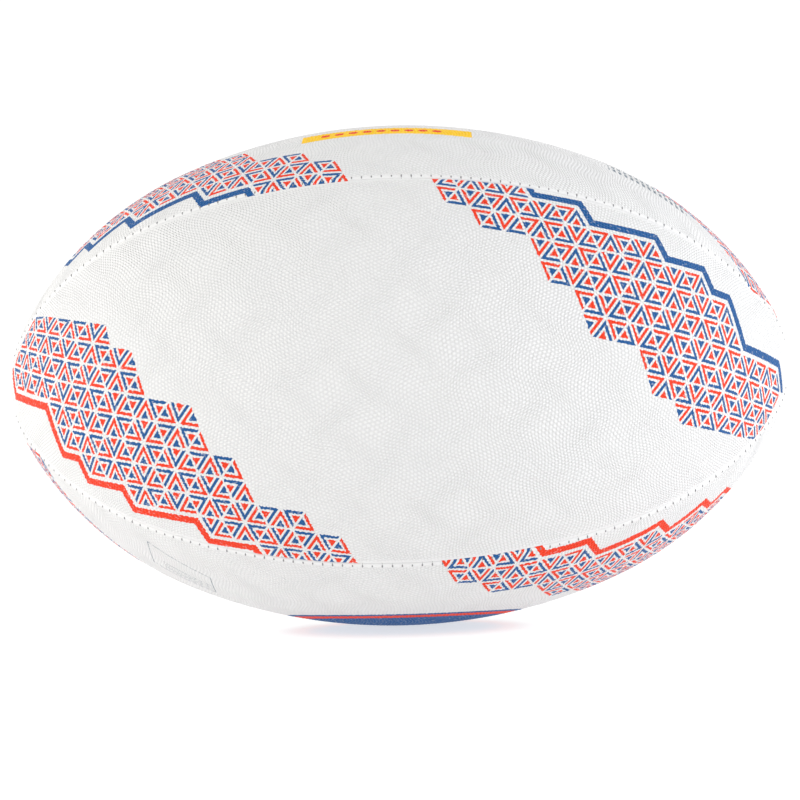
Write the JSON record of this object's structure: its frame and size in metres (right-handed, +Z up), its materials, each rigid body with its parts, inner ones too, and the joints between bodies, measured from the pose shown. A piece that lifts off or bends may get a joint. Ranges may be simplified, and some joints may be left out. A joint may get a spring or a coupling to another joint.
{
  "type": "rugby ball",
  "caption": "Oval ball with four stitched, pimpled rubber panels over cloth plies, an inflatable bladder and a needle valve.",
  "frame": {"origin": "centre of the ball", "axes": "+X along the long axis, +Z up; the panels face -Y, +Z, +Y and -Z, and the valve is in the middle of the +Y panel"},
  "size_m": [0.29, 0.186, 0.186],
  "materials": {
    "cover": "pimpled, matte, with a printed two-colour pattern",
    "ply": "woven",
    "thread": "waxed twine",
    "bladder": "matte",
    "valve": "satin",
    "plug": "satin"
  },
  "bodies": {
    "root": {"cover_front": "cover", "cover_top": "cover", "cover_back": "cover", "cover_bottom": "cover", "ply_1_front": "ply", "ply_1_top": "ply", "ply_1_back": "ply", "ply_1_bottom": "ply", "ply_2_front": "ply", "ply_2_top": "ply", "ply_2_back": "ply", "ply_2_bottom": "ply", "ply_3_front": "ply", "ply_3_top": "ply", "ply_3_back": "ply", "ply_3_bottom": "ply", "seam_thread_front_top": "thread", "seam_thread_top_back": "thread", "seam_thread_back_bottom": "thread", "seam_thread_bottom_front": "thread", "bladder": "bladder", "valve_patch": "ply", "valve_housing": "valve", "valve_plug": "plug"}
  },
  "joints": []
}
